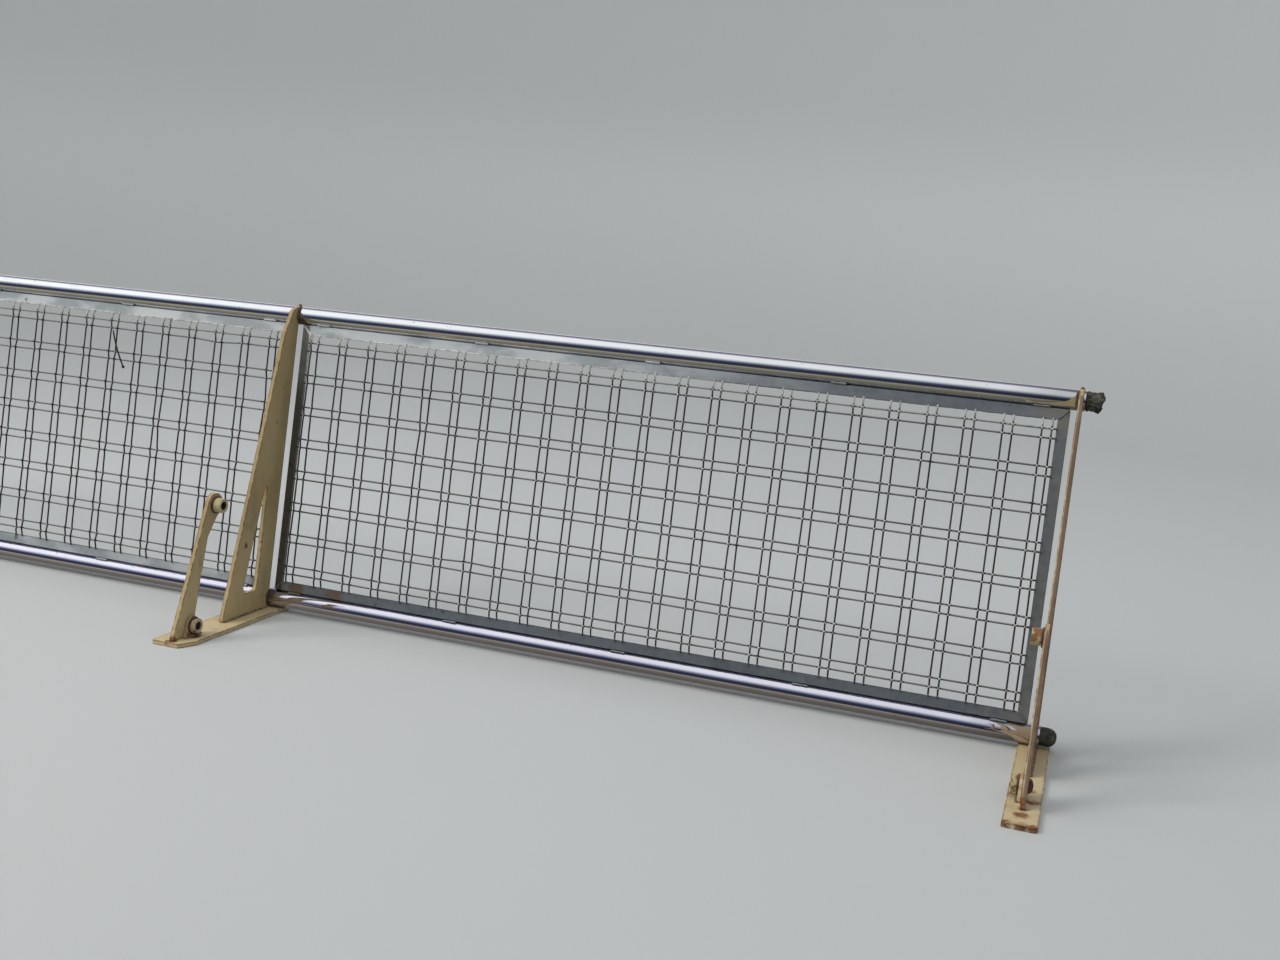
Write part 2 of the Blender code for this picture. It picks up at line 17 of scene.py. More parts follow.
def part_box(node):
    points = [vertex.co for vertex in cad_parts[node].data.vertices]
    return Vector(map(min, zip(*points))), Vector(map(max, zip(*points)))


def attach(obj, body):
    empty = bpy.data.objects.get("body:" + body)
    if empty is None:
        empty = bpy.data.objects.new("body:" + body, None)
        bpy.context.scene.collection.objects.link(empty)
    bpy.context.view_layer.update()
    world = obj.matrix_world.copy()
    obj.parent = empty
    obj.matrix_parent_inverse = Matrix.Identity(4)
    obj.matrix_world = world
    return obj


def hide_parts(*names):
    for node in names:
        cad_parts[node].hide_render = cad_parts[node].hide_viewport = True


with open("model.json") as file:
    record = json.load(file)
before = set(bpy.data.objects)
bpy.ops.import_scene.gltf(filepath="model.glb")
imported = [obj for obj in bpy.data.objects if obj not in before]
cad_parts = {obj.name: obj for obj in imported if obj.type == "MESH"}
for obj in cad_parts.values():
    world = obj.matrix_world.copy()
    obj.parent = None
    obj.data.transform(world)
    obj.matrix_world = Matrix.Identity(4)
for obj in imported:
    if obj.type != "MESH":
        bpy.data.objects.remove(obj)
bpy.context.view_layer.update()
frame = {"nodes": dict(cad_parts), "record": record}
nodes = frame["nodes"]
body_of = {
    node: body
    for body, members in frame["record"]["behaviour"]["bodies"].items()
    for node in members
}

MM = 0.001
TUBE_RADIUS = 11.0 * MM
TUBE_WALL = 1.5 * MM
PLATE = 5.0 * MM
PIECE_GAP = 0.3 * MM  # clearance between neighbouring CAD pieces
WIRE_RADIUS = 1.0 * MM
PAIR_PITCH = 40.0 * MM
PAIR_GAP = 10.0 * MM
MESH_BEHIND = 9.0 * MM  # middle of the mesh behind the tubes' axes
FACE_BEHIND = 6.55 * MM  # rear face of the frames behind the tubes' axes
FACE_WIDTH = 11.5 * MM
THREAD_RADIUS = 5.0 * MM  # of the bosses, the nuts and the pivots' bolts


def middle(node):
    low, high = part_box(node)
    return (low + high) / 2


BOTTOM_AXIS = middle("bottom_tube")
TOP_AXIS = middle("top_tube")
UP = (TOP_AXIS - BOTTOM_AXIS).normalized()
AHEAD = Vector((0.0, UP.z, -UP.y))
TUBE_SPACING = (TOP_AXIS - BOTTOM_AXIS).length
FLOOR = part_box("middle_foot")[1].z  # top of the feet
BRACKETS = ("left", "middle", "right")
BRACKET_X = {name: middle(f"{name}_gusset").x for name in BRACKETS}
PANELS = ("left_panel", "right_panel")


def leaned(x, ahead, up):
    """A point given along the tubes, ahead of their axes and up the lean."""
    return BOTTOM_AXIS + Vector((x, 0.0, 0.0)) + AHEAD * ahead + UP * up


# ---------------------------------------------------------------- finishes
def add_node(tree, kind, inputs, output=0, **settings):
    """Adds a shader node, sets or links its inputs, and gives one of its outputs."""
    made = tree.nodes.new(kind)
    for key, value in settings.items():
        setattr(made, key, value)
    for key, value in inputs.items():
        if isinstance(value, bpy.types.NodeSocket):
            tree.links.new(value, made.inputs[key])
        else:
            made.inputs[key].default_value = value
    return made.outputs[output]


def opaque(colour):
    """A colour with its alpha, or a socket as it is."""
    return colour if isinstance(colour, bpy.types.NodeSocket) else (*colour, 1.0)


class Finish:
    """A Principled material built from patterns in the guard's own coordinates."""

    def __init__(self, name, metallic=0.0):
        self.material = bpy.data.materials.new(name)
        self.material.use_nodes = True
        self.tree = self.material.node_tree
        self.shader = self.tree.nodes["Principled BSDF"]
        self.shader.inputs["Metallic"].default_value = metallic
        self.place = self.tree.nodes.new("ShaderNodeTexCoord").outputs["Object"]

    def node(self, kind, inputs, output=0, **settings):
        return add_node(self.tree, kind, inputs, output, **settings)

    def math(self, operation, first, second):
        return self.node("ShaderNodeMath", {0: first, 1: second}, operation=operation)

    def times(self, first, second):
        return self.math("MULTIPLY", first, second)

    def plus(self, first, second):
        return self.math("ADD", first, second)

    def minus(self, first, second):
        return self.math("SUBTRACT", first, second)

    def noise(self, size, detail=4.0, stretch=(1.0, 1.0, 1.0), seed=0.0):
        """Cloudy values round 0.5, with features about size across."""
        place = self.node("ShaderNodeMapping", {"Vector": self.place, "Scale": stretch})
        inputs = {"Vector": place, "W": seed, "Scale": 1.0 / size, "Detail": detail}
        return self.node("ShaderNodeTexNoise", inputs, noise_dimensions="4D")

    def fade(self, value, start, end):
        """0 at start to 1 at end, smoothly."""
        inputs = {"Value": value, "From Min": start, "From Max": end}
        return self.node("ShaderNodeMapRange", inputs, interpolation_type="SMOOTHSTEP")

    def span(self, value, low, high):
        """Stretches 0 to 1 over low to high."""
        return self.node("ShaderNodeMapRange", {"Value": value, "To Min": low, "To Max": high})

    def spots(self, size, chance, seed=0.0):
        """Scattered round specks, in a share of the cells given by chance."""
        inputs = {"Vector": self.place, "W": seed, "Scale": 1.0 / size}
        cell = self.node("ShaderNodeTexVoronoi", inputs, voronoi_dimensions="4D").node
        pick = self.node("ShaderNodeSeparateColor", {"Color": cell.outputs["Color"]})
        chosen = self.fade(pick, chance, chance * 0.8)
        ragged = self.plus(cell.outputs["Distance"], self.noise(size * 0.4, 3.0))
        return self.times(chosen, self.fade(ragged, 0.95, 0.65))

    def cells(self, size, seed=0.0):
        """A flat random value for each crystal-like cell."""
        inputs = {"Vector": self.place, "W": seed, "Scale": 1.0 / size}
        colour = self.node("ShaderNodeTexVoronoi", inputs, "Color", voronoi_dimensions="4D")
        return self.node("ShaderNodeSeparateColor", {"Color": colour})

    def near(self, point, radius, ragged=0.5):
        """1 at a point, fading out round it with a ragged rim."""
        away = self.node(
            "ShaderNodeVectorMath",
            {0: self.place, 1: tuple(point)},
            "Value",
            operation="DISTANCE",
        )
        rim = self.span(self.noise(radius * 0.8, 4.0, seed=radius * 900.0), -ragged, ragged)
        return self.fade(self.plus(self.math("DIVIDE", away, radius), rim), 1.1, 0.5)

    def mark(self):
        """The mark that the shape code left on each vertex."""
        return self.node("ShaderNodeAttribute", {}, "Fac", attribute_name="mark")

    def axis(self, letter):
        """The X, Y or Z coordinate."""
        return self.node("ShaderNodeSeparateXYZ", {0: self.place}, letter)

    def edges(self, width):
        """1 along sharp edges, 0 on flat faces."""
        soft = self.node("ShaderNodeBevel", {"Radius": width}, samples=6)
        plain = self.node("ShaderNodeNewGeometry", {}, "True Normal")
        turned = self.node(
            "ShaderNodeVectorMath", {0: soft, 1: plain}, "Value", operation="DOT_PRODUCT"
        )
        return self.fade(turned, 0.995, 0.90)

    def most(self, *values):
        """The largest of the values."""
        result = values[0]
        for value in values[1:]:
            result = self.math("MAXIMUM", result, value)
        return result

    def mix(self, share, first, second):
        """Blends two colours."""
        inputs = {0: share, 6: opaque(first), 7: opaque(second)}
        return self.node("ShaderNodeMix", inputs, 2, data_type="RGBA")

    def tint(self, colour, share, strength, other):
        """Blends another colour in where share is high, up to strength."""
        return self.mix(self.times(share, strength), colour, other)

    def finish(self, colour, roughness, height, depth):
        """Connects the patterns. Depth is how far the height pattern reaches."""
        self.tree.links.new(colour, self.shader.inputs["Base Color"])
        self.tree.links.new(roughness, self.shader.inputs["Roughness"])
        bump = self.node("ShaderNodeBump", {"Distance": depth, "Height": height}, "Normal")
        self.tree.links.new(bump, self.shader.inputs["Normal"])
        return self.material


def chrome_finish(name, dull, bright):
    """Chrome clouded between two colours, with haze, fine scratches, pits and painted shade beside
    the middle bracket.
    """
    f = Finish(name, metallic=1.0)
    cloud = f.noise(0.05, 5.0, (0.25, 1.0, 1.0))
    haze = f.fade(f.noise(0.012, 6.0, (0.4, 1.0, 1.0), 3.0), 0.52, 0.75)
    scratch = f.fade(f.noise(0.0012, 2.0, (0.02, 1.0, 1.0), 7.0), 0.62, 0.74)
    pits = f.spots(0.0025, 0.02, 2.0)
    # Painted shade: dark spots on the tubes' backs just beside the middle bracket
    shade_spots = [f.near(leaned(x, -6.0 * MM, up), 10.0 * MM, 0.35) for x, up in CHROME_SHADE_SPOTS]
    grime_and_shade = f.most(*shade_spots)
    colour = f.mix(cloud, dull, bright)
    colour = f.tint(colour, haze, 0.25, (0.45, 0.43, 0.42))
    colour = f.mix(pits, colour, (0.16, 0.10, 0.06))
    colour = f.tint(colour, grime_and_shade, 0.8, (0.10, 0.075, 0.05))
    rough = f.plus(f.span(haze, 0.045, 0.13), f.times(scratch, 0.12))
    rough = f.most(rough, f.times(f.most(grime_and_shade, pits), 0.55))
    wave = f.noise(0.09, 1.0, (0.35, 1.0, 1.0), 5.0)
    height = f.plus(wave, f.times(f.plus(pits, scratch), -0.05))
    return f.finish(colour, rough, height, 0.35 * MM)


def zinc_finish():
    """Dull zinc with a faint crystal pattern, painted light and shade, and a few stains."""
    f = Finish("dull_galvanised_steel", metallic=0.85)
    cloud = f.noise(0.045, 6.0, (0.5, 1.0, 1.0))
    crystal = f.cells(0.007)
    dull = f.fade(f.noise(0.018, 6.0, (0.6, 1.0, 1.0), 4.0), 0.45, 0.7)
    colour = f.mix(cloud, (0.24, 0.265, 0.285), (0.42, 0.455, 0.475))
    colour = f.tint(colour, crystal, 0.35, (0.50, 0.54, 0.57))
    colour = f.tint(colour, dull, 0.45, (0.20, 0.215, 0.205))
    # Painted light: the top rails, fading out to the right, and the whole left panel are paler,
    # with brighter patches as painted highlights
    painted_highlight = f.times(f.fade(f.axis("X"), 0.80, 0.35), f.fade(f.axis("Z"), 0.25, 0.33))
    painted_highlight = f.most(painted_highlight, f.times(f.fade(f.axis("X"), -0.02, -0.03), 0.8))
    painted_highlight = f.times(painted_highlight, f.span(f.noise(0.05, 4.0, (0.3, 1, 1), 13.0), 0.5, 1.1))
    highlight_patches = f.times(painted_highlight, f.fade(f.noise(0.03, 5.0, (0.5, 1, 1), 9.0), 0.42, 0.58))
    colour = f.tint(colour, painted_highlight, 0.8, (0.46, 0.50, 0.52))
    colour = f.tint(colour, highlight_patches, 0.75, (0.82, 0.84, 0.86))
    # The stile beside the middle bracket is painted dark, as painted shade from the bracket's plate
    dark = f.fade(f.axis("X"), 19.5 * MM, 18.5 * MM)
    dark = f.times(dark, f.fade(f.axis("X"), 0.0, 3.0 * MM))
    colour = f.tint(colour, dark, 0.75, (0.11, 0.10, 0.07))
    tan = [f.near(leaned(x, -FACE_BEHIND, 16.0 * MM), r, 0.35) for x, r in RAIL_STAINS]
    # A beige stain in the right panel's upper right corner
    beige = f.near(leaned(0.915, -FACE_BEHIND, 0.338), 22.0 * MM, 0.6)
    colour = f.tint(colour, f.most(*tan), 0.8, (0.30, 0.22, 0.15))
    colour = f.tint(colour, beige, 0.55, (0.50, 0.44, 0.34))
    specks = f.spots(0.011, 0.10, 5.0)
    colour = f.tint(colour, specks, 0.7, (0.13, 0.08, 0.05))
    rough = f.span(f.noise(0.008, 5.0, seed=6.0), 0.34, 0.58)
    rough = f.plus(rough, f.times(f.most(dull, specks, *tan), 0.16))
    height = f.plus(f.noise(0.004, 4.0), f.times(cloud, 0.8))
    # Less metallic where the highlight is painted, so that it shows pale
    metal = f.minus(0.85, f.times(painted_highlight, 0.75))
    f.tree.links.new(metal, f.shader.inputs["Metallic"])
    return f.finish(colour, rough, height, 0.25 * MM)


def wire_finish(name, sheen_share):
    """Dark wire with painted glints on the crossings' crests and painted shade round them, greyed
    by sheen_share as a painted sheen.
    """
    f = Finish(name, metallic=0.75)
    mark = f.mark()
    cloud = f.noise(0.02, 4.0)
    colour = f.mix(cloud, (0.055, 0.045, 0.048), (0.13, 0.11, 0.112))
    maroon = f.fade(f.noise(0.03, 3.0, seed=2.0), 0.5, 0.68)
    colour = f.tint(colour, maroon, 0.6, (0.09, 0.045, 0.04))
    # Painted highlight: the wires by the top rail are painted pale cream
    top_glint = f.times(f.fade(f.axis("Z"), 0.328, 0.345), f.fade(cloud, 0.25, 0.5))
    colour = f.tint(colour, top_glint, 0.85, (0.80, 0.77, 0.66))
    # Painted sheen: the cross wires are greyed paler than the upright wires, standing in for the
    # light they catch
    if sheen_share:
        painted_sheen = f.span(f.noise(0.025, 4.0, seed=8.0), sheen_share * 0.6, sheen_share * 1.3)
        colour = f.mix(painted_sheen, colour, (0.40, 0.40, 0.39))
    # Painted shade: the crimps' flanks round each crossing are darkened
    grime_and_shade = f.times(f.fade(mark, 0.0, -1.0), 0.8)
    colour = f.mix(grime_and_shade, colour, (0.022, 0.016, 0.018))
    # Painted highlight: glints on the crossings' crests, fading out towards the left
    wear_and_glint = f.times(f.fade(mark, 0.1, 0.9), f.fade(f.axis("X"), -0.35, 0.75))
    wear_and_glint = f.times(wear_and_glint, f.fade(f.noise(0.02, 3.0, seed=4.0), 0.32, 0.5))
    colour = f.mix(wear_and_glint, colour, (0.95, 0.93, 0.92))
    rough = f.span(f.noise(0.005, 4.0, seed=3.0), 0.30, 0.62)
    rough = f.minus(rough, f.times(wear_and_glint, 0.15))
    return f.finish(colour, rough, f.noise(0.0015, 3.0), 0.08 * MM)


def weld_finish(name, dark, light, metallic, roughness, unlit_grey=None):
    """Clouded weld metal. With unlit_grey, its pale painted highlight turns that grey low down and
    to the right.
    """
    f = Finish(name, metallic=metallic)
    cloud = f.noise(0.006, 5.0)
    colour = f.mix(f.fade(cloud, 0.35, 0.65), dark, light)
    if unlit_grey:
        unlit = f.most(f.fade(f.axis("Z"), 0.30, 0.10), f.fade(f.axis("X"), 0.38, 0.62))
        colour = f.mix(unlit, colour, unlit_grey)
    rough = f.span(f.noise(0.002, 3.0, seed=2.0), *roughness)
    return f.finish(colour, rough, f.noise(0.0012, 4.0, seed=1.0), 0.2 * MM)


def shaded_side_and_lit_edge(f, colour):
    """The right bracket gets painted shade, brown, on its outer side, and a painted highlight on
    its paler inner edge.
    """
    normal = f.tree.nodes.new("ShaderNodeTexCoord").outputs["Normal"]
    to_rear = f.fade(f.node("ShaderNodeSeparateXYZ", {0: normal}, "Y"), -0.6, -0.8)
    right = BRACKET_X["right"]
    rear = f.times(to_rear, f.fade(f.axis("X"), right - 1.5 * MM, right - 0.5 * MM))
    # Painted shade on the outer side and on the rear edge's outer part
    outer = f.most(f.fade(f.axis("X"), right + 1.2 * MM, right + 2.2 * MM), rear)
    outer = f.times(f.times(outer, 0.92), f.fade(f.axis("Z"), 6.0 * MM, 10.0 * MM))
    outer = f.times(outer, f.span(f.noise(0.02, 5.0, seed=12.0), 0.65, 1.15))
    maroon = f.fade(f.noise(0.03, 4.0, (1.0, 1.0, 0.5), 15.0), 0.42, 0.6)
    brown = f.mix(maroon, (0.145, 0.095, 0.075), (0.080, 0.042, 0.042))
    colour = f.mix(outer, colour, brown)
    # Painted highlight along the rear edge's inner part
    inner = f.times(to_rear, f.fade(f.axis("X"), right - 0.8 * MM, right - 1.8 * MM))
    inner = f.times(inner, f.fade(f.axis("X"), right - 40.0 * MM, right - 20.0 * MM))
    return f.tint(colour, inner, 0.6, (0.74, 0.68, 0.50))


def rust_through_paint(f, colour, mottle):
    """Rust along the cut edges, in specks, and round a few spots: the colour and the chips."""
    chipped = f.fade(f.noise(0.008, 5.0, seed=3.0), 0.40, 0.52)
    rim = f.times(f.edges(3.0 * MM), chipped)
    patch = f.most(*[f.near(point, radius, 0.7) for point, radius in rust_spots()])
    wear_and_glint = f.times(patch, f.fade(mottle, 0.36, 0.5))
    chips = f.most(rim, f.spots(0.008, 0.035, 1.0), wear_and_glint)
    halo = f.most(f.times(f.edges(5.0 * MM), 0.35), f.times(patch, 0.8))
    halo = f.times(halo, f.span(f.noise(0.004, 3.0, seed=5.0), 0.4, 1.0))
    colour = f.mix(halo, colour, (0.40, 0.23, 0.09))
    grain = f.fade(f.noise(0.003, 4.0, seed=7.0), 0.4, 0.6)
    rust = f.mix(grain, (0.085, 0.042, 0.03), (0.25, 0.105, 0.04))
    return f.mix(chips, colour, rust), chips


def paint_finish():
    """Cream paint, painted darker higher up and palest on the feet as light and shade, with
    streaks, grime and rust.
    """
    f = Finish("old_cream_paint")
    cloud = f.noise(0.05, 5.0, (1.0, 1.0, 0.6))
    mottle = f.noise(0.012, 6.0, seed=1.0)
    streak = f.fade(f.noise(0.010, 5.0, (1.0, 1.0, 0.12), 6.0), 0.5, 0.72)
    colour = f.mix(f.fade(cloud, 0.3, 0.7), (0.350, 0.262, 0.120), (0.47, 0.362, 0.180))
    # Painted light: paler lower down and on the feet's tops, where light falls, against painted
    # shade on the upright plates
    colour = f.tint(colour, f.fade(f.axis("Z"), 0.17, 0.04), 0.5, (0.60, 0.47, 0.26))
    colour = f.tint(colour, mottle, 0.35, (0.36, 0.28, 0.15))
    colour = f.tint(colour, streak, 0.35, (0.27, 0.20, 0.11))
    feet = f.fade(f.axis("Z"), 9.0 * MM, 3.0 * MM)
    colour = f.tint(colour, feet, 0.55, (0.64, 0.53, 0.33))
    colour = shaded_side_and_lit_edge(f, colour)
    grime_and_shade = f.fade(f.noise(0.022, 6.0, seed=8.0), 0.56, 0.74)
    colour = f.tint(colour, grime_and_shade, 0.35, (0.20, 0.15, 0.10))
    colour, chips = rust_through_paint(f, colour, mottle)
    rough = f.span(mottle, 0.38, 0.60)
    rough = f.plus(rough, f.times(f.most(chips, grime_and_shade), 0.25))
    height = f.plus(f.times(mottle, 0.5), f.times(chips, -0.8))
    height = f.plus(height, f.times(f.noise(0.0025, 3.0), 0.25))
    return f.finish(colour, rough, height, 0.3 * MM)


def rust_finish():
    """Dark maroon rust with orange patches, nearly black as painted shade where marked."""
    f = Finish("maroon_rust", metallic=0.15)
    cloud = f.noise(0.006, 6.0)
    orange = f.fade(f.noise(0.009, 5.0, seed=2.0), 0.48, 0.62)
    colour = f.mix(f.fade(cloud, 0.35, 0.65), (0.060, 0.028, 0.027), (0.14, 0.070, 0.055))
    colour = f.tint(colour, orange, 0.35, (0.26, 0.12, 0.055))
    colour = f.mix(f.mark(), colour, (0.016, 0.011, 0.009))
    rough = f.span(f.noise(0.003, 4.0, seed=3.0), 0.55, 0.9)
    return f.finish(colour, rough, f.noise(0.0018, 5.0, seed=1.0), 0.35 * MM)


def boss_finish(name, stain):
    """Cream paint, with more rust through it for a larger stain, nearly black as painted shade
    where marked.
    """
    f = Finish(name)
    colour = f.mix(f.noise(0.008, 5.0), (0.38, 0.31, 0.17), (0.50, 0.42, 0.25))
    bare = f.fade(f.noise(0.007, 6.0, seed=4.0), 0.66 - stain * 0.4, 0.74 - stain * 0.4)
    rim = f.times(f.edges(1.0 * MM), f.fade(f.noise(0.004, 4.0), 0.4, 0.55))
    bare = f.most(bare, rim)
    rust = f.mix(f.noise(0.003, 4.0, seed=1.0), (0.12, 0.055, 0.035), (0.33, 0.17, 0.07))
    colour = f.mix(bare, colour, rust)
    colour = f.mix(f.mark(), colour, (0.022, 0.014, 0.010))
    rough = f.span(f.noise(0.004, 4.0, seed=2.0), 0.42, 0.68)
    rough = f.plus(rough, f.times(bare, 0.2))
    height = f.minus(f.noise(0.002, 4.0, seed=3.0), f.times(bare, 0.6))
    return f.finish(colour, rough, height, 0.25 * MM)


def rubber_finish():
    """Dark rubber, greyed by dust in patches."""
    f = Finish("weathered_rubber")
    cloud = f.noise(0.006, 6.0)
    colour = f.mix(f.fade(cloud, 0.35, 0.65), (0.030, 0.029, 0.020), (0.095, 0.092, 0.068))
    dust = f.fade(f.noise(0.010, 5.0, seed=2.0), 0.5, 0.7)
    colour = f.tint(colour, dust, 0.5, (0.17, 0.16, 0.12))
    rough = f.span(f.noise(0.003, 4.0, seed=3.0), 0.65, 0.95)
    return f.finish(colour, rough, f.noise(0.0015, 5.0, seed=1.0), 0.3 * MM)


# Stains and painted shade, each with its place along the tubes first. Chrome, painted shade beside
# the middle bracket: how far up the lean it is
CHROME_SHADE_SPOTS = ((6.0 * MM, 4.0 * MM), (6.0 * MM, TUBE_SPACING - 8.0 * MM))
# Bottom rail: the stain's radius
RAIL_STAINS = ((40.0 * MM, 13.0 * MM), (94.0 * MM, 15.0 * MM))
# Rust on the plates: bracket, millimetres across from its middle, ahead and up, and radius
PLATE_RUST = (
    ("middle", 2.5, 30.4, 92.8, 4.5),
    ("middle", 2.5, 45.1, 108.4, 2.6),
    ("middle", 2.5, 62.1, 91.0, 2.6),
    ("middle", 2.5, 57.6, 54.3, 2.2),
    ("right", 0.0, -34.0, 138.0, 9.0),
    ("right", 0.0, -103.0, 10.0, 8.0),
)
# Rust on the feet: bracket, millimetres across from its middle and ahead, and radius
FOOT_RUST = (
    ("right", -14.0, -42.0, 8.0),
    ("right", -14.0, -70.0, 8.0),
    ("right", -12.0, -142.5, 8.0),
    ("right", 1.0, -143.0, 9.0),
    ("right", 13.0, -142.5, 7.0),
    ("right", 0.0, -118.0, 9.0),
    ("right", 8.0, -80.0, 9.0),
    ("right", 3.0, -50.0, 8.0),
    ("middle", 6.0, -74.2, 12.0),
    ("middle", 0.0, -106.0, 8.0),
    ("left", 0.0, -90.0, 12.0),
)


def rust_spots():
    """The places of the rust in the paint, each with its radius."""
    spots = []
    for name, across, ahead, up, radius in PLATE_RUST:
        spots.append(((BRACKET_X[name] + across * MM, ahead * MM, up * MM), radius * MM))
    for name, across, ahead, radius in FOOT_RUST:
        spots.append(((BRACKET_X[name] + across * MM, ahead * MM, FLOOR), radius * MM))
    return spots


# The bottom tube's chrome is painted darker and lavender, a painted reflection
CHROME = {
    "top": chrome_finish("top_chrome", (0.70, 0.71, 0.745), (0.83, 0.835, 0.85)),
    "bottom": chrome_finish("bottom_chrome", (0.60, 0.575, 0.68), (0.77, 0.75, 0.85)),
}
ZINC = zinc_finish()
UPRIGHT_WIRE = wire_finish("dark_wire", 0.0)
# The cross wires carry a painted sheen, strongest on the left panel
CROSS_WIRE = {
    "left_panel": wire_finish("pale_wire", 0.72),
    "right_panel": wire_finish("grey_wire", 0.5),
}
PAINT = paint_finish()
RUST = rust_finish()
RUBBER = rubber_finish()
CREAM_BOSS = boss_finish("cream_boss", 0.1)
RUSTY_BOSS = boss_finish("rusty_boss", 0.55)
WORN_NUT = boss_finish("worn_nut", 0.36)
# The frame welds are pale as a painted highlight, grey low down and to the right where none is
# painted
UNLIT_GREY = (0.16, 0.165, 0.17)
HIGHLIGHT_WELD = weld_finish(
    "highlight_weld", (0.40, 0.40, 0.38), (0.93, 0.91, 0.85), 0.3, (0.25, 0.5), UNLIT_GREY
)
# Weld metal made near black, partly as painted shade where the tubes meet the brackets
SHADED_WELD = weld_finish("shaded_weld", (0.035, 0.026, 0.02), (0.16, 0.11, 0.07), 0.3, (0.5, 0.8))
PAINTED_WELD = weld_finish(
    "painted_weld", (0.085, 0.048, 0.033), (0.30, 0.23, 0.13), 0.0, (0.5, 0.8)
)


# ---------------------------------------------------------------- shapes
def add_piece(name, shape, finish, replaces=(), body="guard", crease=40.0):
    """Turns a bmesh into a named piece that rides on a body."""
    for face in shape.faces:
        face.smooth = True
    for edge in shape.edges:
        if len(edge.link_faces) == 2 and edge.calc_face_angle() > math.radians(crease):
            edge.smooth = False
    mesh = bpy.data.meshes.new(name)
    shape.to_mesh(mesh)
    shape.free()
    mesh.materials.append(finish)
    piece = bpy.data.objects.new(name, mesh)
    bpy.context.scene.collection.objects.link(piece)
    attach(piece, body)
    if replaces:
        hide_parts(*replaces)
    return piece


def sweep(shape, path, radii, sides, marks=None, layer=None):
    """Adds a closed round bar along a path, with a radius and a mark for each point."""
    normal = (path[1] - path[0]).orthogonal()
    rings = []
    for index, point in enumerate(path):
        ahead = (path[min(index + 1, len(path) - 1)] - path[max(index - 1, 0)]).normalized()
        normal = (normal - ahead * normal.dot(ahead)).normalized()
        across = ahead.cross(normal)
        ring = []
        for step in range(sides):
            angle = 2 * math.pi * step / sides
            out = normal * math.cos(angle) + across * math.sin(angle)
            vertex = shape.verts.new(point + out * radii[index])
            if layer is not None:
                vertex[layer] = marks[index]
            ring.append(vertex)
        rings.append(ring)
    for low, high in zip(rings, rings[1:]):
        for step in range(sides):
            after = (step + 1) % sides
            shape.faces.new((low[step], low[after], high[after], high[step]))
    shape.faces.new(list(reversed(rings[0])))
    shape.faces.new(rings[-1])


def lathe(shape, profile, place, steps, closed, marked=None):
    """Spins (radius, height) points about local Z; a point at radius 0 is a tip.

    A closed profile joins its last point to its first. Points for which
    marked(radius, height) is true get a mark.
    """
    layer = shape.verts.layers.float.new("mark")
    rings = []
    for radius, height in profile:
        if radius <= 0.0:
            tip = shape.verts.new(place @ Vector((0.0, 0.0, height)))
            tip[layer] = 1.0 if marked and marked(radius, height) else 0.0
            rings.append([tip])
            continue
        ring = []
        for step in range(steps):
            angle = 2 * math.pi * step / steps
            spot = Vector((radius * math.cos(angle), radius * math.sin(angle), height))
            vertex = shape.verts.new(place @ spot)
            vertex[layer] = 1.0 if marked and marked(radius, height) else 0.0
            ring.append(vertex)
        rings.append(ring)
    pairs = list(zip(rings, rings[1:]))
    if closed:
        pairs.append((rings[-1], rings[0]))
    for low, high in pairs:
        for step in range(steps):
            after = (step + 1) % steps
            corners = [low[step % len(low)], low[after % len(low)]]
            corners += [high[after % len(high)], high[step % len(high)]]
            unique = list(dict.fromkeys(corners))
            shape.faces.new(unique)
    bmesh.ops.recalc_face_normals(shape, faces=shape.faces)


def roughen(shape, amount, size, seed, chosen=None):
    """Moves vertices along their normals by a smooth noise."""
    shape.normal_update()
    moves = []
    for vertex in shape.verts:
        if chosen is None or chosen(vertex.co):
            push = noise.noise(vertex.co / size + Vector((seed, seed, seed)))
            moves.append((vertex, vertex.normal * (push * amount)))
    for vertex, move in moves:
        vertex.co += move


def bead(shape, path, radius, pitch, seed):
    """A weld bead along a path, with a ripple every pitch and a wandering width."""
    step = pitch / 4
    points = []
    for start, end in zip(path, path[1:]):
        count = max(1, round((end - start).length / step))
        points += [start.lerp(end, index / count) for index in range(count)]
    points.append(path[-1])
    radii = []
    for index, point in enumerate(points):
        ripple = 0.86 + 0.14 * abs(math.sin(math.pi * index / 4))
        wander = 1.0 + 0.45 * noise.noise(point / (4 * pitch) + Vector((seed, 0.0, 0.0)))
        taper = min(1.0, 0.35 + 0.3 * min(index, len(points) - 1 - index))
        radii.append(radius * ripple * wander * taper)
    sweep(shape, points, radii, 8)


def blob(shape, centre, radius, seed, flat=1.0):
    """A lump of weld metal, flattened along the frame's depth."""
    turn = Matrix((Vector((1, 0, 0)), AHEAD, UP)).transposed().to_4x4()
    matrix = Matrix.Translation(centre) @ turn @ Matrix.Diagonal((1.0, flat, 1.0, 1.0))
    made = bmesh.ops.create_icosphere(shape, subdivisions=2, radius=radius, matrix=matrix)
    for vertex in made["verts"]:
        push = noise.noise(vertex.co / (radius * 0.9) + Vector((seed, 0.0, 0.0)))
        vertex.co += (vertex.co - centre) * (0.35 * push)


# ---------------------------------------------------------------- tubes and plugs
def along_x(x, point, side):
    """Puts a turned piece's axis along X from x, with its top towards side."""
    spot = Matrix.Translation((x, point.y, point.z))
    return spot @ Matrix.Rotation(side * math.pi / 2, 4, "Y")


ROUND_STEPS = 96
TUBE_SECTIONS = 24
TUBE_LIP = 0.4 * MM
SHANK_LENGTH = 17.0 * MM
SHANK_RADIUS = TUBE_RADIUS - 2.0 * MM


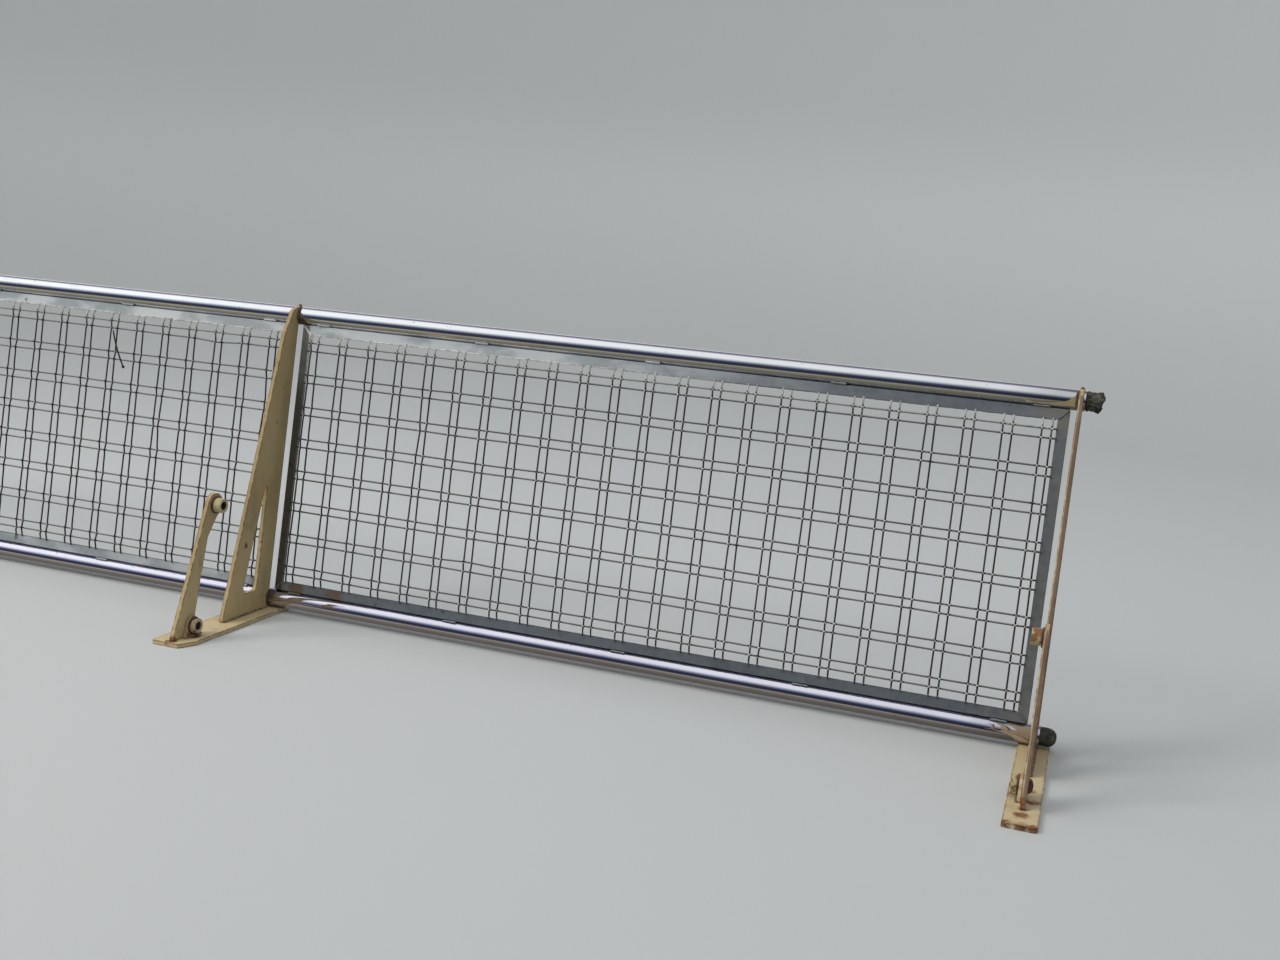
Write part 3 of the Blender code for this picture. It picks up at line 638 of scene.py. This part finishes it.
def chrome_tube(level):
    """A tube with slightly rounded ends."""
    node = f"{level}_tube"
    low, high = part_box(node)
    length = high.x - low.x
    bore = TUBE_RADIUS - TUBE_WALL
    profile = [(bore, 0.0), (TUBE_RADIUS - TUBE_LIP, 0.0), (TUBE_RADIUS, TUBE_LIP)]
    for section in range(1, TUBE_SECTIONS):
        profile.append((TUBE_RADIUS, length * section / TUBE_SECTIONS))
    profile += [(TUBE_RADIUS, length - TUBE_LIP), (TUBE_RADIUS - TUBE_LIP, length), (bore, length)]
    shape = bmesh.new()
    lathe(shape, profile, along_x(low.x, middle(node), 1.0), ROUND_STEPS, closed=True)
    add_piece(f"{level}_chrome_tube", shape, CHROME[level], [node], crease=50.0)


chrome_tube("bottom")
chrome_tube("top")


def plug_profile(head, grooves):
    """A head with a rounded rim and raised rings, and the shank inside the tube."""
    radius = TUBE_RADIUS - (1.0 if grooves else 1.6) * MM
    points = [(0.0, head)]
    dome = 8.0 * MM if grooves else 4.0 * MM
    points.append(((radius - dome) * 0.5, head))
    for index in range(25):
        angle = math.pi / 2 * index / 24
        inset = 0.45 * MM if grooves and index % 6 in (3, 4) else 0.0
        across = radius - dome + (dome - inset) * math.sin(angle)
        points.append((across, head - dome + (dome - inset) * math.cos(angle)))
    points += [(radius, (head - dome) * share / 6) for share in (5, 4, 3, 2, 1)]
    points += [(radius, 0.2 * MM), (SHANK_RADIUS, 0.2 * MM)]
    points += [(SHANK_RADIUS, -SHANK_LENGTH), (0.0, -SHANK_LENGTH)]
    return points


# Lumps in each kind of rubber end: how far they reach, how wide they are, and their seed
LUMPS = {
    "plug": ((3.6 * MM, 9.0 * MM, 0.0), (2.2 * MM, 3.2 * MM, 4.0), (0.9 * MM, 1.2 * MM, 9.0)),
    "cap": ((0.8 * MM, 9.0 * MM, 0.0), (0.2 * MM, 1.6 * MM, 4.0)),
}


def rubber_end(level, kind, side_name, seed):
    """A ragged plug or a smoother domed cap in one end of a tube."""
    node = f"{level}_{side_name}_{kind}"
    side = 1.0 if side_name == "right" else -1.0
    low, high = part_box(node)
    tube_low, tube_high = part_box(f"{level}_tube")
    end = tube_high.x if side > 0.0 else tube_low.x
    head = abs((high.x if side > 0.0 else low.x) - end)
    shape = bmesh.new()
    place = along_x(end, middle(f"{level}_tube"), side)
    lathe(shape, plug_profile(head, kind == "cap"), place, 72, closed=False)

    def outside(point):
        return (point.x - end) * side > 0.6 * MM

    for amount, size, extra in LUMPS[kind]:
        roughen(shape, amount, size, seed + extra, outside)
    add_piece(f"{node}_rubber", shape, RUBBER, [node], crease=70.0)


rubber_end("top", "plug", "right", 3.0)
rubber_end("top", "plug", "left", 11.0)
rubber_end("bottom", "cap", "right", 5.0)
rubber_end("bottom", "cap", "left", 8.0)


# ---------------------------------------------------------------- woven wire
def pair_centres(opening):
    """Places of all wires of one direction, centred in the opening."""
    pairs = 1 + int((opening - PAIR_GAP - 2 * WIRE_RADIUS) / PAIR_PITCH)
    first = -((pairs - 1) * PAIR_PITCH + PAIR_GAP) / 2
    return [first + PAIR_PITCH * pair + PAIR_GAP * twin for pair in range(pairs) for twin in (0, 1)]


def bulge(x, up):
    """How far the mesh stands out of flat."""
    return 0.7 * MM * noise.noise(Vector((x * 5.0, up * 7.0, 4.0)))


# One crossing of a wire: place along it, share of the crimp, and the mark of the wire that passes
# over and under.
# A mark above 0 is a painted highlight and one below 0 is painted shade.
CRIMP = (
    (-4.2 * MM, 0.10, 0.0, 0.0),
    (-2.2 * MM, 0.55, -0.9, -0.9),
    (-0.9 * MM, 0.95, 0.35, -1.0),
    (0.0, 1.0, 1.2, -1.0),
    (0.9 * MM, 0.95, 0.35, -1.0),
    (2.2 * MM, 0.55, -0.9, -0.9),
    (4.2 * MM, 0.10, 0.0, 0.0),
)
END_SHINE = 0.35
STUB_BEHIND = FACE_BEHIND + WIRE_RADIUS + 0.05 * MM
BEND_REACH = 22.0 * MM
# Wires that are bent in their own plane: panel, direction, wire, place along it, how far
BENDS = (
    ("left_panel", "upright", 44, 0.07, 2.6 * MM),
    ("left_panel", "upright", 37, 0.02, -2.0 * MM),
    ("left_panel", "cross", 14, 0.36, -2.2 * MM),
    ("left_panel", "cross", 12, 0.10, 1.8 * MM),
    ("right_panel", "upright", 8, 0.05, 1.8 * MM),
    ("right_panel", "cross", 3, -0.20, 1.6 * MM),
)


def wire_path(panel, direction, index, across, crossings, half, rng):
    """Points, from end to end, of one wire as (along, across, behind, mark)."""
    lean_way = 1.0 if direction == "upright" else -1.0
    reach_low = half + rng.uniform(0.3, 1.8) * MM
    reach_high = half + rng.uniform(0.3, 1.8) * MM
    stations = [(-reach_low, None, END_SHINE), (-half + 1.0 * MM, None, END_SHINE)]
    for number, along in enumerate(crossings):
        side = lean_way if (index + number) % 2 else -lean_way
        for shift, share, over, under in CRIMP:
            stations.append((along + shift, side * share, over if side > 0.0 else under))
    stations += [(half - 1.0 * MM, None, END_SHINE), (reach_high, None, END_SHINE)]
    bends = [b for b in BENDS if b[:3] == (panel, direction, index)]
    seed = index * 3.7 + (50.0 if panel == "left_panel" else 0.0) + (9.0 if lean_way > 0.0 else 0.0)
    points = []
    for along, side, mark in stations:
        wobble = 0.7 * MM * noise.noise(Vector((seed, along * 11.0, 0.0)))
        for *_, place, amount in bends:
            wobble += amount * math.exp(-(((along - place) / BEND_REACH) ** 2))
        # The ends, which are welded, stay in place
        wobble *= min(1.0, max(0.0, (half - abs(along)) / (20.0 * MM)))
        behind = STUB_BEHIND if side is None else MESH_BEHIND + side * WIRE_RADIUS
        points.append((along, across + wobble, behind, mark))
    return points


def wires(panel, direction, x_centre, width, height, seed):
    """Builds all wires of one direction and gives the places of their end welds."""
    rng = random.Random(seed)
    up_centre = TUBE_SPACING / 2
    across_all = pair_centres(width if direction == "upright" else height)
    crossings = pair_centres(height if direction == "upright" else width)
    half = (height if direction == "upright" else width) / 2
    shape = bmesh.new()
    layer = shape.verts.layers.float.new("mark")
    welds = []
    for index, across in enumerate(across_all):
        path = []
        marks = []
        for along, aside, behind, mark in wire_path(
            panel, direction, index, across, crossings, half, rng
        ):
            x, up = (aside, along) if direction == "upright" else (along, aside)
            out = bulge(x_centre + x, up) if abs(along) < half else 0.0
            path.append(leaned(x_centre + x, -behind - out, up_centre + up))
            marks.append(mark)
        sweep(shape, path, [WIRE_RADIUS] * len(path), 8, marks, layer)
        welds += [path[0].lerp(path[1], 0.4), path[-1].lerp(path[-2], 0.4)]
    name = f"{panel}_{direction}_wires"
    finish = UPRIGHT_WIRE if direction == "upright" else CROSS_WIRE[panel]
    add_piece(f"{name}_woven", shape, finish, [name], crease=60.0)
    return welds


def add_broken_wire():
    """A snapped wire end bent out of the left panel."""
    shape = bmesh.new()
    layer = shape.verts.layers.float.new("mark")
    root = leaned(-0.2491, -MESH_BEHIND - 1.6 * MM, 0.2645)
    rise = Vector((-0.006, -0.019, 0.0)) + UP * 0.048
    side = Vector((0.0015, -0.004, 0.0))
    path = []
    for step in range(13):
        share = step / 12
        path.append(root + rise * share + side * math.sin(math.pi * share))
    radii = [WIRE_RADIUS] * 12 + [WIRE_RADIUS * 0.6]
    # Marks for a painted highlight along the bent-out end
    marks = [0.0, 0.0, 0.2] + [0.8] * 10
    sweep(shape, path, radii, 8, marks, layer)
    blob(shape, root, 2.0 * MM, 2.0)
    add_piece("left_panel_broken_wire", shape, UPRIGHT_WIRE, crease=60.0)


def frame_welds(panel, number, wire_ends, x_centre, width, height):
    """Blobs on the wires' ends, runs of zinc along the inner edges, and the corner welds, painted
    pale as a highlight.
    """
    shape = bmesh.new()
    rng = random.Random(number + 20)
    for index, spot in enumerate(wire_ends):
        size = rng.uniform(1.0, 1.45) * MM
        blob(shape, spot, size, index * 1.3, 0.7)
    up_centre = TUBE_SPACING / 2
    edge = height / 2
    # A thin run along the top and bottom inner edges
    for up, spread in ((edge, 0.75 * MM), (-edge, 0.40 * MM)):
        run = []
        for step in range(301):
            x = x_centre + (width - 4.0 * MM) * (step / 300 - 0.5)
            run.append(leaned(x, -FACE_BEHIND - 0.1 * MM, up_centre + up))
        radii = [spread * (1.0 + 0.4 * noise.noise(point * 160.0)) for point in run]
        sweep(shape, run, radii, 6)
    # A run down the upper part of the left stile's inner edge, painted bright as a highlight
    inner_x = x_centre - width / 2
    run = []
    radii = []
    for step in range(61):
        point = leaned(inner_x, -FACE_BEHIND - 0.3 * MM, up_centre + edge - step * MM)
        run.append(point)
        radii.append((1.7 - step * 0.022) * MM * (1.0 + 0.4 * noise.noise(point * 160.0)))
    sweep(shape, run, radii, 6)
    blob(shape, run[0], 2.6 * MM, number * 3.0, 0.5)
    # Corner welds along the mitres
    outer = 1.5 * MM
    inner = FACE_WIDTH - 0.5 * MM
    for side in (-1.0, 1.0):
        for rise in (-1.0, 1.0):
            corner_x = x_centre + side * (width / 2 + FACE_WIDTH)
            corner_up = up_centre + rise * (edge + FACE_WIDTH)
            start = leaned(corner_x - side * outer, -FACE_BEHIND, corner_up - rise * outer)
            end = leaned(corner_x - side * inner, -FACE_BEHIND, corner_up - rise * inner)
            bead(shape, [start, end], 1.5 * MM, 1.8 * MM, corner_x * 50.0 + rise)
    add_piece(f"{panel}_frame_welds", shape, HIGHLIGHT_WELD, crease=60.0)


def tack_welds(panel, x_centre, width):
    """Five tacks that hold each rail of a frame to its tube."""
    shape = bmesh.new()
    behind = 7.4 * MM
    reach = 9.0 * MM
    for level, way in ((0.0, 1.0), (TUBE_SPACING, -1.0)):
        for count in range(5):
            x = x_centre + width * (count / 4 - 0.5) * 0.96
            up = level + way * (TUBE_RADIUS - 1.2 * MM)
            start = leaned(x - reach, -behind, up)
            end = leaned(x + reach, -behind, up)
            bead(shape, [start, end], 1.3 * MM, 2.0 * MM, count + level * 10.0)
    add_piece(f"{panel}_tack_welds", shape, ZINC, crease=60.0)


for panel, number in zip(PANELS, (1, 2)):
    rail_low, rail_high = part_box(f"{panel}_top_rail")
    x_centre = (rail_low.x + rail_high.x) / 2
    outer_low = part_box(f"{panel}_left_stile")[0].x
    outer_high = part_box(f"{panel}_right_stile")[1].x
    width = outer_high - outer_low - 2 * FACE_WIDTH
    height = TUBE_SPACING - 2 * (TUBE_RADIUS + PIECE_GAP + FACE_WIDTH)
    wire_ends = wires(panel, "upright", x_centre, width, height, number)
    wire_ends += wires(panel, "cross", x_centre, width, height, number + 10)
    frame_welds(panel, number, wire_ends, x_centre, width, height)
    tack_welds(panel, x_centre, width)

add_broken_wire()


# ---------------------------------------------------------------- brackets
def threads(inner, start, end, pitch=1.25 * MM, depth=0.65 * MM):
    """Zigzag profile points up a bore or a shank from start to end."""
    points = []
    count = max(1, int((end - start) / pitch))
    for index in range(count):
        low = start + (end - start) * index / count
        points += [(inner, low), (inner + depth, low + pitch * 0.5)]
    points.append((inner, end))
    return points


def collar(radius, inner, length, round_over, threaded):
    """Closed profile of a nut-like collar, rounded at its outer end."""
    points = [(radius, 0.0)]
    for index in range(6):
        angle = math.pi / 2 * index / 5
        points.append(
            (
                radius - round_over + round_over * math.cos(angle),
                length - round_over + round_over * math.sin(angle),
            )
        )
    lip = 0.5 * MM
    points += [(inner + lip + 0.9 * MM, length), (inner + lip, length - lip)]
    if threaded:
        points += list(reversed(threads(inner - 0.6 * MM, lip, length - 2 * lip)))
    points.append((inner, 0.0))
    return points


def turned(node, name, profile_maker, finish, slot, side, marked, closed=True):
    """Builds a turned piece in the place of a node, its local top towards side."""
    low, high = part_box(node)
    length = high.x - low.x
    radius = (high.z - low.z) / 2
    start = low.x if side > 0.0 else high.x
    shape = bmesh.new()
    place = along_x(start, middle(node), side)
    lathe(shape, profile_maker(radius, length), place, 48, closed, marked)
    roughen(shape, 0.25 * MM, 3.0 * MM, low.x * 10.0)
    add_piece(name, shape, finish, [node], body_of[node], crease=50.0)


def bolt_profile(radius, length):
    """Domed head from height 0, then a threaded shank with a chamfered end."""
    head = 4.0 * MM
    shank = THREAD_RADIUS
    points = [(0.0, 0.0)]
    for index in range(1, 9):
        angle = math.pi / 2 * index / 8
        points.append((radius * math.sin(angle), head * (1.0 - math.cos(angle))))
    points += [(shank, head), (shank, length - 6.0 * MM)]
    for turn in range(1, 9):
        crest = 0.45 * MM * (turn % 2)
        points.append((shank - 0.5 * MM + crest, length - (6.0 - turn * 0.55) * MM))
    points += [(shank - 1.1 * MM, length), (1.6 * MM, length), (0.0, length - 0.7 * MM)]
    return points


def threaded_collar(radius, length):
    """The boss and the pivot's nut: a 10 mm thread."""
    return collar(radius, THREAD_RADIUS, length, 1.2 * MM, True)


def plain_ring(radius, length):
    """The boss's ring and the pivot's washer, with a clearance on a 10 mm screw."""
    return collar(radius, THREAD_RADIUS + PIECE_GAP, length, 0.4 * MM, False)


def in_bore(radius, height):
    """Points of a bore, painted dark as shade inside the hole."""
    return radius < THREAD_RADIUS + 0.45 * MM


def past_head(radius, height):
    """Points of a bolt's shank, painted dark as shade too."""
    return height > 5.0 * MM


def fasteners(name, side):
    """The boss, the nut, their rings and the pivot's bolt."""
    boss_paint = RUSTY_BOSS if name == "right" else CREAM_BOSS
    for node, made, finish, slot in (
        ("threaded_boss", "boss_collar", boss_paint, "cream_paint"),
        ("pivot_nut", "pivot_nut_collar", WORN_NUT, "rusty_steel"),
    ):
        turned(f"{name}_{node}", f"{name}_{made}", threaded_collar, finish, slot, side, in_bore)
    for ring in ("boss_ring", "pivot_washer"):
        node = f"{name}_{ring}"
        turned(node, f"{node}_turned", plain_ring, RUST, "rusty_steel", side, in_bore)
    bolt = f"{name}_domed_bolt"
    turned(f"{name}_pivot_bolt", bolt, bolt_profile, RUST, "rusty_steel", side, past_head, False)


def foot_welds(name, side):
    """Fillet welds on the foot, along both sides of the gusset and one side of the lug."""
    shape = bmesh.new()
    middle_x = BRACKET_X[name]
    low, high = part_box(f"{name}_gusset")
    front = BOTTOM_AXIS.y - 12.0 * MM
    height = FLOOR + 0.4 * MM
    for way in (-1.0, 1.0):
        x = middle_x + way * (PLATE / 2 + 0.4 * MM)
        start = Vector((x, low.y + 3.0 * MM, height))
        end = Vector((x, front, height))
        bead(shape, [start, end], 1.7 * MM, 2.2 * MM, middle_x * 9.0 + way)
    low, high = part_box(f"{name}_lug")
    x = (high.x if side > 0.0 else low.x) + side * 0.3 * MM
    start = Vector((x, low.y - 0.5 * MM, height))
    end = Vector((x, high.y + 0.5 * MM, height))
    bead(shape, [start, end], 1.8 * MM, 2.2 * MM, middle_x * 5.0)
    add_piece(f"{name}_foot_welds", shape, PAINTED_WELD, crease=60.0)


def round_tube(x, beyond, degrees, up):
    """A point beside a tube's surface, from straight ahead (0) over the top to the back."""
    angle = math.radians(degrees)
    reach = TUBE_RADIUS + beyond
    return leaned(x, reach * math.cos(angle), up + reach * math.sin(angle))


def tube_welds(name):
    """Welds round the backs of both tubes, not on the outer side of the end brackets."""
    shape = bmesh.new()
    middle_x = BRACKET_X[name]
    for up in (0.0, TUBE_SPACING):
        for way in (-1.0, 1.0):
            if name == "left" and way < 0.0 or name == "right" and way > 0.0:
                continue
            x = middle_x + way * (PLATE / 2 + 0.5 * MM)
            path = []
            for step in range(15):
                path.append(round_tube(x, 0.9 * MM, 128.0 + 104.0 * step / 14, up))
            bead(shape, path, 1.6 * MM, 2.2 * MM, middle_x * 3.0 + up * 20.0 + way)
        if up:
            tip = round_tube(middle_x, 1.3 * MM, 106.0, up)
            blob(shape, tip, 2.3 * MM, middle_x * 4.0)
    add_piece(f"{name}_tube_welds", shape, SHADED_WELD, crease=60.0)


for name in BRACKETS:
    side = 1.0 if middle(f"{name}_threaded_boss").x > BRACKET_X[name] else -1.0
    fasteners(name, side)
    foot_welds(name, side)
    tube_welds(name)

# CAD nodes that keep their shapes
for node, part in nodes.items():
    if node.endswith(("_rail", "_stile")):
        finish = ZINC
    elif node.endswith(("_gusset", "_foot", "_stay", "_lug")):
        finish = PAINT
    else:
        continue
    part.data.materials.clear()
    part.data.materials.append(finish)


# ---------------------------------------------------------------- studio
def floor_finish():
    """Pale grey, paler up the wall."""
    f = Finish("pale_floor")
    colour = f.mix(f.noise(0.9, 3.0), (0.50, 0.517, 0.512), (0.535, 0.548, 0.541))
    colour = f.mix(f.fade(f.axis("Z"), 0.0, 0.9), colour, (0.63, 0.648, 0.645))
    return f.finish(colour, f.span(f.noise(0.2, 3.0), 0.75, 0.9), f.noise(0.01, 3.0), 0.1 * MM)


FLOOR_RADIUS = 3.6
WALL_BEND = 1.2
WALL_HEIGHT = 5.0
WALL_STEPS = 16


def studio_floor():
    """A round floor that bends up into a wall."""
    profile = [(0.0, 0.0)]
    profile += [(FLOOR_RADIUS * step / 12, 0.0) for step in range(1, 13)]
    for step in range(1, WALL_STEPS + 1):
        angle = math.pi / 2 * step / WALL_STEPS
        reach = FLOOR_RADIUS + WALL_BEND * math.sin(angle)
        profile.append((reach, WALL_BEND * (1.0 - math.cos(angle))))
    profile.append((FLOOR_RADIUS + WALL_BEND, WALL_HEIGHT))
    shape = bmesh.new()
    lathe(shape, profile, Matrix.Identity(4), ROUND_STEPS, closed=False)
    for face in shape.faces:
        face.smooth = True
    mesh = bpy.data.meshes.new("studio_floor")
    shape.to_mesh(mesh)
    shape.free()
    mesh.materials.append(floor_finish())
    studio = bpy.data.objects.new("studio_floor", mesh)
    bpy.context.scene.collection.objects.link(studio)
    studio.visible_glossy = False
    studio.visible_shadow = False


studio_floor()


def area_light(name, spot, target, size, power, colour):
    """A rectangular lamp aimed at a target, which no surface mirrors."""
    light = bpy.data.lights.new(name, "AREA")
    light.shape = "RECTANGLE"
    light.size, light.size_y = size
    light.energy = power
    light.color = colour
    lamp = bpy.data.objects.new(name, light)
    lamp.location = spot
    lamp.rotation_euler = (Vector(target) - Vector(spot)).to_track_quat("-Z", "Y").to_euler()
    lamp.visible_glossy = False
    bpy.context.scene.collection.objects.link(lamp)


area_light("key", (-1.9, -2.0, 2.6), (0.1, 0.0, 0.1), (1.4, 1.4), 70.0, (1.0, 0.97, 0.92))
area_light("top", (0.2, 0.3, 3.2), (0.2, 0.1, 0.0), (3.0, 1.6), 22.0, (0.95, 0.97, 1.0))

# What the chrome mirrors, in degrees round the X axis: 0 is level to the rear, 90 straight up,
# 180 level ahead. It goes from bright above, through a dark horizon at the rear, to a brown
# ground. The bright bands over the rear and over the front show as lines along the tubes.
SKY = (
    (-180.0, (0.10, 0.10, 0.13)),
    (-165.0, (0.08, 0.08, 0.10)),
    (-140.0, (0.22, 0.21, 0.18)),
    (-80.0, (0.19, 0.175, 0.14)),
    (-45.0, (0.32, 0.295, 0.22)),
    (-30.0, (0.50, 0.48, 0.39)),
    (-22.0, (0.050, 0.050, 0.075)),
    (2.0, (0.050, 0.055, 0.110)),
    (14.0, (0.16, 0.19, 0.27)),
    (26.0, (0.62, 0.70, 0.76)),
    (46.0, (1.45, 1.50, 1.52)),
    (92.0, (1.45, 1.46, 1.48)),
    (112.0, (0.36, 0.345, 0.46)),
    (142.0, (0.26, 0.26, 0.29)),
    (151.0, (1.20, 1.22, 1.25)),
    (168.0, (1.20, 1.22, 1.25)),
    (176.0, (0.16, 0.17, 0.22)),
)
BACKDROP = (0.47, 0.49, 0.49)


def studio_world():
    """A world that is one pale colour to the camera and the sky above to everything else."""
    world = bpy.data.worlds.new("studio_world")
    world.use_nodes = True
    tree = world.node_tree
    background = tree.nodes["Background"]
    direction = tree.nodes.new("ShaderNodeTexCoord").outputs["Generated"]
    split = add_node(tree, "ShaderNodeSeparateXYZ", {0: direction}).node
    rear = add_node(
        tree, "ShaderNodeMath", {0: split.outputs["Y"], 1: -1.0}, operation="MULTIPLY"
    )
    turn = add_node(
        tree, "ShaderNodeMath", {0: split.outputs["Z"], 1: rear}, operation="ARCTAN2"
    )
    whole_turn = {"Value": turn, "From Min": -math.pi, "From Max": math.pi}
    share = add_node(tree, "ShaderNodeMapRange", whole_turn)
    ramp = add_node(tree, "ShaderNodeValToRGB", {"Fac": share}).node
    points = ramp.color_ramp.elements
    while len(points) < len(SKY):
        points.new(0.5)
    for point, (angle, colour) in zip(points, SKY):
        point.position = (angle + 180.0) / 360.0
        point.color = (*colour, 1.0)
    seen = tree.nodes.new("ShaderNodeLightPath").outputs["Is Camera Ray"]
    colours = {0: seen, 6: ramp.outputs["Color"], 7: opaque(BACKDROP)}
    choice = add_node(tree, "ShaderNodeMix", colours, 2, data_type="RGBA")
    tree.links.new(choice, background.inputs["Color"])
    # Brighter towards -X, where the main light is
    brightness = {"From Min": -0.9, "From Max": 0.4, "To Min": 0.95, "To Max": 0.40}
    brightness["Value"] = split.outputs["X"]
    strength = add_node(tree, "ShaderNodeMapRange", brightness)
    tree.links.new(strength, background.inputs["Strength"])
    return world


bpy.context.scene.world = studio_world()

# The camera's place and turn were solved from the mesh's regular grid
camera_data = bpy.data.cameras.new("camera")
camera_data.lens = 38.95
camera = bpy.data.objects.new("camera", camera_data)
camera.location = (0.9588, -1.3843, 0.4865)
camera.rotation_euler = (math.radians(80.55), math.radians(-4.779), math.radians(18.865))
bpy.context.scene.collection.objects.link(camera)
bpy.context.scene.camera = camera
bpy.context.scene.view_settings.view_transform = "Standard"
